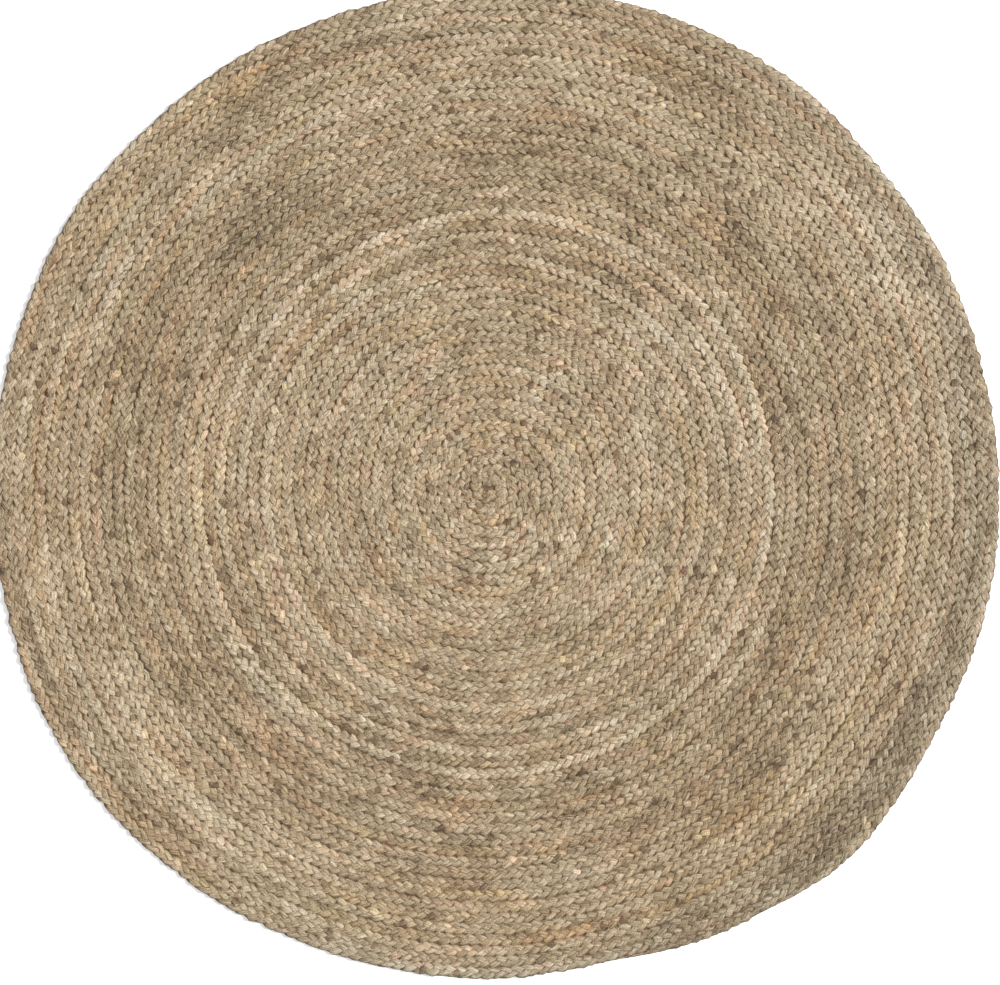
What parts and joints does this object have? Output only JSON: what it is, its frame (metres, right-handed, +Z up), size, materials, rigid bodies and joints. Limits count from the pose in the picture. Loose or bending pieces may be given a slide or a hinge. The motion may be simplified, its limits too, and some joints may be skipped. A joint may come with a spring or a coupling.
{
  "type": "round jute rug",
  "caption": "Flat round floor rug of undyed jute, plaits laid side by side and sewn in one flat coil from the centre out, with an uneven sewn edge.",
  "frame": {"origin": "on the floor, at the middle of the rug's outline", "axes": "+Z up through the rug's thickness; +X to the right and +Y away in the plan view, with both plaits ending on the -Y side"},
  "size_m": [1.5114, 1.4866, 0.009],
  "materials": {
    "jute": "dull, undyed, loosely spun jute with short fibres standing off it and strands of mixed grey, tan and brown"
  },
  "bodies": {
    "root": {"rug": "jute"}
  },
  "joints": []
}
